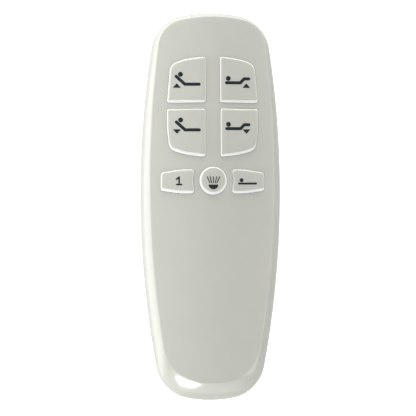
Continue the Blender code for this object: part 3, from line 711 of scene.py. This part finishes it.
def lamp_symbol():
    """A half-round shade with five rays above it."""
    curve = arc(Vector((0, SHADE_Y)), SHADE_R, pi, 2 * pi, 24)
    top = [Vector((SHADE_R - 0.6 * i, SHADE_Y)) for i in range(7)]
    shade = [Vector((point.x, SHADE_Y + (point.y - SHADE_Y) * SHADE_SQUASH)) for point in curve + top]
    feet, tips = (-1.5, -0.8, 0, 0.8, 1.5), (-2.65, -1.35, 0, 1.35, 2.65)
    return [shade, *(stadium((foot, 10.35), (tip, 12.9), RAY_STROKE) for foot, tip in zip(feet, tips))]


def numeral_one():
    flag_and_stem = polyline(((-15.6, 11.85), (-14.5, 12.75), (-14.5, 9.6)), NUMERAL_STROKE)
    return [*flag_and_stem, stadium((-15.55, 9.6), (-13.45, 9.6), NUMERAL_STROKE)]


SYMBOLS = {
    "head_up": head_symbol(52.11, 50.6, 52.5),
    "head_down": head_symbol(32.76, 33.0, 31.1),
    "foot_up": foot_symbol(52.75, 50.6, 52.5),
    "foot_down": foot_symbol(33.29, 33.0, 31.1),
    "preset": numeral_one(),
    "light": lamp_symbol(),
    "flat": [stadium((11.0, 10.0), (18.4, 10.0), 0.85), disc(12.1, 11.45, 0.85)],
}


def printed(key):
    """Ink over the cap's crowned top, as a thin closed layer that overlaps it slightly."""
    flat, sides = [], []
    for outline in SYMBOLS[key.name]:
        start, count = len(flat), len(outline)
        flat += outline
        sides += [(start + i, start + (i + 1) % count) for i in range(count)]
    made = geometry.delaunay_2d_cdt(flat, sides, [], 1, 1e-6)
    places, triangles = made[0], made[2]
    bm = bmesh.new()
    layers = []
    for height in (-INK_HEIGHT, INK_HEIGHT):
        points = [Vector(place) * MM for place in places]
        layers.append([bm.verts.new((*p, face_z(*p) + CAP_PROUD + height)) for p in points])
    low, high = layers
    borders = {}
    for a, b, c in triangles:
        bm.faces.new((high[a], high[b], high[c]))
        bm.faces.new((low[c], low[b], low[a]))
        for one, two in ((a, b), (b, c), (c, a)):
            if not borders.pop((two, one), False):
                borders[one, two] = True
    for one, two in borders:
        bm.faces.new((low[one], low[two], high[two], high[one]))
    for vert in [vert for vert in bm.verts if not vert.link_faces]:
        bm.verts.remove(vert)
    bmesh.ops.recalc_face_normals(bm, faces=bm.faces)
    mesh = bpy.data.meshes.new(f"symbol_{key.name}")
    bm.to_mesh(mesh)
    bm.free()
    return piece(f"symbol_{key.name}", mesh)


# ---------------------------------------------------------------- screws and cells
def screw_mesh():
    """Pan head with a cross recess on a pointed shank, head down, as one mesh for all the screws."""
    profile = [(0.05, 9.0), (0.4, 8.9), (1.25, 7.4), (1.25, 0), (2.25, 0), (2.4, -0.15), (2.4, -0.8)]
    profile += [(2.2, -1.15), (1.7, -1.38), (1.0, -1.48), (0.1, -1.5)]
    screw = turned("screw", profile)
    for x, y in ((1.5, 0.3), (0.3, 1.5)):
        screw = combined(screw, "DIFFERENCE", box("arm", (-x, -y, -2.5), (x, y, -0.8)))
    mesh = screw.data
    mesh.set_sharp_from_angle(angle=radians(30))
    bpy.data.objects.remove(screw)
    return mesh


def cell_mesh():
    """An AAA cell on its Z axis, nub up: jacket with rolled ends, metal shoulders, insulator step."""
    half = 21.65
    profile = [(0.2, half + 1.2), (1.5, half + 1.2), (1.85, half + 1.05), (1.9, half + 0.2), (2.4, half)]
    profile += [(3.9, half), (4.1, half - 0.25), (4.5, half - 0.25), (4.75, half), (5.05, half - 0.05)]
    profile += [(5.25, half - 0.35), (5.25, half - 0.9), (5.25, 0.9 - half), (5.22, 0.45 - half)]
    profile += [(5.0, 0.15 - half), (4.6, 0.1 - half), (4.3, 0.1 - half), (4.1, -half), (0.2, -half)]
    cell = turned("cell", profile, CELL_SIDES)
    mesh = cell.data
    bpy.data.objects.remove(cell)
    for face in mesh.polygons:
        wide = max(Vector(mesh.vertices[i].co[:2]).length for i in face.vertices) > 5.2 * MM
        upright = abs(face.normal.z) < 0.3
        face.material_index = 0 if wide and upright else 1
    return mesh


COIL_WIRE_R, COIL_BASE_R, COIL_TIP_R = 0.25 * MM, 3.6 * MM, 2.0 * MM
COIL_TURNS, CLOSED_TURNS, COIL_POINTS = 4.5, 0.8, 200


def coil_spring(node, number, end):
    """A conical spring on its plate, with a closed coil at each end."""
    low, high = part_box(node)
    middle = (low + high) / 2
    reach = high.y - low.y - 2 * COIL_WIRE_R
    start_y = high.y - COIL_WIRE_R if end > 0 else low.y + COIL_WIRE_R
    curve = bpy.data.curves.new("path", "CURVE")
    curve.dimensions = "3D"
    curve.bevel_depth, curve.bevel_resolution, curve.use_fill_caps = COIL_WIRE_R, 3, True
    spline = curve.splines.new("POLY")
    spline.points.add(COIL_POINTS)
    for i, point in enumerate(spline.points):
        share = i / COIL_POINTS
        angle, radius = 2 * pi * COIL_TURNS * share, COIL_BASE_R + (COIL_TIP_R - COIL_BASE_R) * share
        rise = min(max((share * COIL_TURNS - CLOSED_TURNS) / (COIL_TURNS - 2 * CLOSED_TURNS), 0), 1)
        x, z = middle.x + radius * cos(angle), CELL_Z * MM + radius * sin(angle)
        point.co = (x, start_y - end * reach * rise, z, 1)
    path = bpy.data.objects.new("path", curve)
    bpy.context.scene.collection.objects.link(path)
    graph = bpy.context.evaluated_depsgraph_get()
    bm = bmesh.new()
    bm.from_mesh(path.evaluated_get(graph).to_mesh())
    bpy.data.objects.remove(path)
    bmesh.ops.remove_doubles(bm, verts=bm.verts, dist=0.001 * MM)
    mesh = bpy.data.meshes.new(f"coil_{number}")
    bm.to_mesh(mesh)
    bm.free()
    return piece(f"coil_{number}", mesh)


# ---------------------------------------------------------------- materials
class Finish:
    """A Principled material whose details come from noise in the object's own space."""

    def __init__(self, name, roughness=0.4, metallic=0.0, **sockets):
        self.material = bpy.data.materials.new(name)
        self.material.use_nodes = True
        self.tree = self.material.node_tree
        self.shader = self.tree.nodes["Principled BSDF"]
        self.set("Roughness", roughness)
        self.set("Metallic", metallic)
        for socket, value in sockets.items():
            self.set(socket.replace("_", " "), value)
        self.place = self.node("ShaderNodeTexCoord").outputs["Object"]
        self.normal = None

    def node(self, kind):
        return self.tree.nodes.new(kind)

    def link(self, out, into):
        self.tree.links.new(out, into)

    def set(self, socket, value):
        self.shader.inputs[socket].default_value = value

    def stretched(self, scale):
        mapping = self.node("ShaderNodeMapping")
        mapping.inputs["Scale"].default_value = scale
        self.link(self.place, mapping.inputs["Vector"])
        return mapping.outputs["Vector"]

    def noise(self, size, detail=2.0, scale=(1, 1, 1)):
        """Noise from 0 to 1 with blotches of about that size."""
        texture = self.node("ShaderNodeTexNoise")
        texture.inputs["Scale"].default_value = 1 / size
        texture.inputs["Detail"].default_value = detail
        self.link(self.stretched(scale), texture.inputs["Vector"])
        return texture.outputs["Fac"]

    def ramp(self, value, low, high, start, end):
        """Maps value from low..high onto start..end."""
        remap = self.node("ShaderNodeMapRange")
        for socket, number in (("From Min", low), ("From Max", high), ("To Min", start), ("To Max", end)):
            remap.inputs[socket].default_value = number
        self.link(value, remap.inputs["Value"])
        return remap.outputs["Result"]

    def colour(self, value, dark, light, low=0.3, high=0.7):
        """Colours the surface between two tones as value goes from low to high."""
        mix = self.node("ShaderNodeMix")
        mix.data_type = "RGBA"
        mix.inputs["A"].default_value = (*dark, 1)
        mix.inputs["B"].default_value = (*light, 1)
        self.link(self.ramp(value, low, high, 0, 1), mix.inputs["Factor"])
        self.link(mix.outputs["Result"], self.shader.inputs["Base Color"])
        return mix

    def rough(self, value, smooth, coarse, low=0.3, high=0.7):
        self.link(self.ramp(value, low, high, smooth, coarse), self.shader.inputs["Roughness"])

    def bump(self, value, height, strength=1.0):
        """Adds relief of that height, in metres, on top of any before it."""
        bump = self.node("ShaderNodeBump")
        bump.inputs["Distance"].default_value = height
        bump.inputs["Strength"].default_value = strength
        self.link(value, bump.inputs["Height"])
        if self.normal:
            self.link(self.normal, bump.inputs["Normal"])
        self.normal = bump.outputs["Normal"]
        self.link(self.normal, self.shader.inputs["Normal"])


def shade(tone, factor):
    """The tone made darker or lighter by a factor."""
    return tuple(channel * factor for channel in tone)


PLASTIC = (0.525, 0.53, 0.475)
SILICONE = (0.88, 0.885, 0.865)
INK = (0.013, 0.019, 0.025)


def moulded_plastic(name, tone, roughness, grain):
    """Light grey ABS: faint cloudiness, a fine spark-eroded grain and slightly uneven gloss."""
    finish = Finish(name, IOR=1.5, Coat_Weight=0.6, Coat_Roughness=0.07)
    finish.colour(finish.noise(9 * MM, 4), shade(tone, 0.985), shade(tone, 1.01))
    finish.rough(finish.noise(14 * MM, 5), roughness - 0.025, roughness + 0.025)
    finish.bump(finish.noise(0.22 * MM, 3), grain, 0.5)
    finish.bump(finish.noise(25 * MM, 1), 0.02 * MM, 0.25)
    return finish.material


def white_silicone():
    finish = Finish("white_silicone_rubber", IOR=1.43)
    finish.colour(finish.noise(4 * MM, 3), shade(SILICONE, 0.985), SILICONE)
    finish.rough(finish.noise(2 * MM, 3), 0.42, 0.5)
    finish.bump(finish.noise(0.12 * MM, 2), 0.002 * MM, 0.5)
    finish.set("Subsurface Weight", 0.15)
    finish.set("Subsurface Radius", (1, 1, 1))
    finish.set("Subsurface Scale", 0.6 * MM)
    return finish.material


def printed_ink():
    """Pad-printed slate ink with a slightly uneven film."""
    finish = Finish("slate_ink", IOR=1.3)
    finish.colour(finish.noise(0.6 * MM, 3), shade(INK, 0.9), shade(INK, 1.15))
    finish.rough(finish.noise(0.3 * MM, 3), 0.38, 0.5)
    finish.bump(finish.noise(0.1 * MM, 2), 0.002 * MM, 0.5)
    return finish.material


def dull_black(name, roughness=0.6, tone=(0.02, 0.02, 0.022)):
    finish = Finish(name)
    finish.colour(finish.noise(1 * MM, 3), shade(tone, 0.85), shade(tone, 1.3))
    finish.rough(finish.noise(0.8 * MM, 3), roughness - 0.08, roughness + 0.08)
    finish.bump(finish.noise(0.1 * MM, 2), 0.004 * MM, 0.5)
    return finish.material


def plated_metal(name, tone, roughness, scale=(1, 1, 1)):
    """Plated metal with fine marks, drawn out along one axis where scale says so."""
    finish = Finish(name, metallic=1.0)
    finish.colour(finish.noise(0.5 * MM, 4, scale), shade(tone, 0.85), tone)
    finish.rough(finish.noise(0.3 * MM, 4, scale), roughness - 0.08, roughness + 0.1)
    finish.bump(finish.noise(0.15 * MM, 3, scale), 0.002 * MM, 0.6)
    return finish.material


def cell_jacket():
    """Printed shrink film: dark slate with a pale band near one end, and no lettering."""
    finish = Finish("cell_film", roughness=0.3, Coat_Weight=0.4, Coat_Roughness=0.15)
    split = finish.node("ShaderNodeSeparateXYZ")
    finish.link(finish.place, split.inputs["Vector"])
    height = finish.ramp(split.outputs["Z"], 12.0 * MM, 12.1 * MM, 0, 1)
    finish.colour(height, (0.03, 0.045, 0.06), (0.45, 0.47, 0.48), 0.4, 0.6)
    finish.rough(finish.noise(3 * MM, 3), 0.24, 0.36)
    finish.bump(finish.noise(5 * MM, 2), 0.03 * MM, 0.3)
    return finish.material


def solder_mask():
    finish = Finish("solder_mask", IOR=1.5)
    finish.colour(finish.noise(2 * MM, 4), (0.01, 0.09, 0.03), (0.02, 0.16, 0.06))
    finish.rough(finish.noise(1 * MM, 3), 0.25, 0.4)
    finish.bump(finish.noise(0.3 * MM, 3), 0.01 * MM, 0.4)
    return finish.material


def paint(obj, *materials):
    """Gives a new piece its materials, in the order of its faces' material indices."""
    obj.data.materials.clear()
    for material in materials:
        obj.data.materials.append(material)


def paint_node(node, material):
    """Gives a CAD node that stays in view its finish."""
    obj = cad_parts[node]
    for holder in obj.material_slots:
        holder.material = material
    if not obj.material_slots:
        obj.data.materials.append(material)


# ---------------------------------------------------------------- assembly
def stand_for(obj, node, body):
    """obj is shown in place of a CAD node and moves with its body."""
    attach(obj, body)
    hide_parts(node)


def build_case(plastic):
    pieces = ((front_housing(), "front_housing", "case"), (rear_housing(), "rear_housing", "case"))
    for obj, node, body in (*pieces, (battery_door(), "battery_door", "door")):
        paint(obj, plastic)
        stand_for(obj, node, body)


def build_keys(plastic, silicone, ink):
    for key in KEYS:
        body, cap, symbol = key_body(key), key_cap(key), printed(key)
        paint(body, silicone)
        paint(cap, plastic)
        paint(symbol, ink)
        stand_for(body, f"key_body_{key.name}", f"key_{key.name}")
        stand_for(cap, f"cap_{key.name}", f"key_{key.name}")
        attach(symbol, f"key_{key.name}")
        cone, foot = web(key), (*key_centre(key), WEB_FOOT_Z)
        paint(cone, silicone)
        stand_for(cone, f"web_{key.name}", "case")
        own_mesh(cone)


def build_fasteners(steel):
    mesh = screw_mesh()
    mesh.materials.append(steel)
    for number, (name, place) in enumerate(SCREWS.items(), 1):
        screw = bpy.data.objects.new(f"tapping_screw_{number}", mesh)
        screw.location = (Vector(place) - Vector((0, 0, 0.3))) * MM
        bpy.context.scene.collection.objects.link(screw)
        stand_for(screw, name, "case")


def build_cells(film, nickel):
    mesh = cell_mesh()
    mesh.materials.append(film)
    mesh.materials.append(nickel)
    for number in (1, 2, 3):
        low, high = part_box(f"cell_{number}")
        nub = 0.6 * MM if number == 2 else -0.6 * MM
        cell = bpy.data.objects.new(f"aaa_cell_{number}", mesh)
        cell.location = (low + high) / 2 + Vector((0, nub, 0))
        cell.rotation_euler.x = pi / 2 if number == 2 else -pi / 2
        bpy.context.scene.collection.objects.link(cell)
        stand_for(cell, f"cell_{number}", "case")
        spring = coil_spring(f"spring_{number}", number, 1 if number == 2 else -1)
        paint(spring, nickel)
        stand_for(spring, f"spring_{number}", "case")


def finish_cad_nodes(silicone, nickel):
    black, carbon = dull_black("moulded_epoxy", 0.5), dull_black("carbon_silicone", 0.75)
    tin = plated_metal("tin_plate", (0.6, 0.6, 0.58), 0.35)
    board, jacket = solder_mask(), dull_black("lead_jacket", 0.45)
    paint_node("circuit_board", board)
    paint_node("keypad_mat", silicone)
    for key in KEYS:
        paint_node(f"pill_{key.name}", carbon)
    for node in ("controller_chip", "capacitor"):
        paint_node(node, black)
    for node in ("radio_module", "crystal"):
        paint_node(node, tin)
    contacts = ("contact_positive", "contact_negative", "contact_link_head", "contact_link_foot")
    for node in ("antenna_coil", *contacts):
        paint_node(node, nickel)
    for node in ("lead_positive", "lead_negative"):
        paint_node(node, jacket)


# ---------------------------------------------------------------- stage
FLOOR_HALF, FLOOR_Z, FLOOR_GLOW = 3.0, -0.02 * MM, 0.6
LIGHT_ABOVE, LIGHT_BELOW, LIGHT_TILT = 0.57, 0.70, (-0.14, -0.2, 0.0)
AIM = Vector((-1.0, -0.5, 11)) * MM
CAMERA_LENS, CAMERA_AWAY = 300.0, 1.48
LEAN_LEFT, LEAN_FOOT = radians(6.5), radians(-0.8)
# Lamps marked soft only brighten matt surfaces, and those marked gloss only show as reflections.
Lamp = namedtuple("Lamp", "name shape place aim width depth power kind")
LAMPS = (
    Lamp("left_softbox", "RECTANGLE", (-1.20, 0.05, 0.10), (0, 0, 0.01), 0.9, 0.18, 11.0, "soft"),
    Lamp("left_card", "RECTANGLE", (-0.60, 0.0, -0.03), (0, 0, 0.01), 0.9, 0.60, 3.0, "gloss"),
    Lamp("head_softbox", "RECTANGLE", (-0.05, 1.20, 0.15), (0, 0.05, 0.01), 0.9, 0.28, 18.0, "soft"),
    Lamp("foot_softbox", "RECTANGLE", (-0.05, -0.50, 0.50), (0, -0.08, 0.01), 0.5, 0.25, 1.6, "soft"),
    Lamp("foot_card", "RECTANGLE", (0.02, -0.50, 0.18), (0, -0.08, 0.01), 0.6, 0.35, 0.75, "gloss"),
    Lamp("right_softbox", "RECTANGLE", (0.68, 0.0, 0.22), (0, 0, 0.01), 0.9, 0.20, 0.7, "soft"),
    Lamp("right_card", "RECTANGLE", (0.50, 0.0, 0.36), (0, 0, 0.01), 0.9, 0.30, 1.6, "gloss"),
    Lamp("window", "ELLIPSE", (-0.16, -0.44, 0.29), (-0.01, -0.08, 0.01), 0.28, 0.24, 1.6, "gloss"),
)


def floor():
    """A pale matt floor, which is clear from below so that the back can be looked at."""
    bm = bmesh.new()
    corners = ((-1, -1), (1, -1), (1, 1), (-1, 1))
    bm.faces.new([bm.verts.new((x * FLOOR_HALF, y * FLOOR_HALF, FLOOR_Z)) for x, y in corners])
    mesh = bpy.data.meshes.new("floor")
    bm.to_mesh(mesh)
    bm.free()
    obj = piece("floor", mesh)
    finish = Finish("studio_floor", roughness=0.9)
    finish.colour(finish.noise(0.4, 2), (0.9, 0.9, 0.9), (0.92, 0.92, 0.92))
    finish.set("Specular IOR Level", 0.0)
    finish.set("Emission Color", (1, 1, 1, 1))
    finish.set("Emission Strength", FLOOR_GLOW)
    clear, mix = finish.node("ShaderNodeBsdfTransparent"), finish.node("ShaderNodeMixShader")
    finish.link(finish.node("ShaderNodeNewGeometry").outputs["Backfacing"], mix.inputs["Fac"])
    finish.link(finish.shader.outputs["BSDF"], mix.inputs[1])
    finish.link(clear.outputs["BSDF"], mix.inputs[2])
    finish.link(mix.outputs["Shader"], finish.tree.nodes["Material Output"].inputs["Surface"])
    paint(obj, finish.material)
    obj.visible_diffuse = obj.visible_glossy = False


def aimed(obj, place, aim):
    obj.location = place
    obj.rotation_mode = "QUATERNION"
    obj.rotation_quaternion = (Vector(aim) - Vector(place)).to_track_quat("-Z", "Y")
    bpy.context.scene.collection.objects.link(obj)


def surroundings():
    """White light from all round, with one strength above, one below and a little more along LIGHT_TILT."""
    world = bpy.data.worlds.new("studio")
    world.use_nodes = True
    tree = world.node_tree
    nodes, link = tree.nodes, tree.links.new
    place, split = nodes.new("ShaderNodeTexCoord"), nodes.new("ShaderNodeSeparateXYZ")
    level, tilt = nodes.new("ShaderNodeMapRange"), nodes.new("ShaderNodeVectorMath")
    total, extra = nodes.new("ShaderNodeMath"), nodes.new("ShaderNodeMath")
    limits = {"From Min": -0.1, "From Max": 0.1, "To Min": LIGHT_BELOW, "To Max": LIGHT_ABOVE}
    for socket, number in limits.items():
        level.inputs[socket].default_value = number
    tilt.operation = "DOT_PRODUCT"
    tilt.inputs[1].default_value = LIGHT_TILT
    extra.operation = "MAXIMUM"
    extra.inputs[1].default_value = 0.0
    link(place.outputs["Generated"], split.inputs["Vector"])
    link(place.outputs["Generated"], tilt.inputs[0])
    link(split.outputs["Z"], level.inputs["Value"])
    link(tilt.outputs["Value"], extra.inputs[0])
    link(level.outputs["Result"], total.inputs[0])
    link(extra.outputs["Value"], total.inputs[1])
    background = nodes["Background"]
    background.inputs["Color"].default_value = (1, 1, 1, 1)
    link(total.outputs["Value"], background.inputs["Strength"])
    bpy.context.scene.world = world


def lamps():
    """Area lamps that the camera doesn't see."""
    for lamp in LAMPS:
        light = bpy.data.lights.new(lamp.name, "AREA")
        light.shape = lamp.shape
        light.size, light.size_y, light.energy = lamp.width, lamp.depth, lamp.power
        holder = bpy.data.objects.new(lamp.name, light)
        holder.visible_camera = False
        holder.visible_diffuse, holder.visible_glossy = lamp.kind != "gloss", lamp.kind != "soft"
        aimed(holder, lamp.place, lamp.aim)


def camera():
    """Looks down on the keys, leaning a little to the left and to the foot, with +Y up."""
    data = bpy.data.cameras.new("camera")
    data.lens, data.sensor_width = CAMERA_LENS, 36.0
    back = Vector((-tan(LEAN_LEFT), -tan(LEAN_FOOT), 1)).normalized()
    right = Vector((0, 1, 0)).cross(back).normalized()
    up = back.cross(right)
    obj = bpy.data.objects.new("camera", data)
    turn = Matrix((right, up, back)).transposed().to_4x4()
    obj.matrix_world = Matrix.Translation(AIM + back * CAMERA_AWAY) @ turn
    bpy.context.scene.collection.objects.link(obj)
    bpy.context.scene.camera = obj


def main():
    plastic = moulded_plastic("grey_case_plastic", PLASTIC, 0.24, 0.004 * MM)
    cap_plastic = moulded_plastic("grey_cap_plastic", PLASTIC, 0.30, 0.004 * MM)
    silicone, ink = white_silicone(), printed_ink()
    nickel = plated_metal("nickel_plate", (0.72, 0.70, 0.65), 0.25)
    steel = plated_metal("zinc_plate", (0.62, 0.62, 0.63), 0.3)
    build_case(plastic)
    build_keys(cap_plastic, silicone, ink)
    build_fasteners(steel)
    build_cells(cell_jacket(), nickel)
    finish_cad_nodes(silicone, nickel)
    floor()
    surroundings()
    lamps()
    camera()


main()
bpy.context.scene.view_settings.view_transform = "Standard"
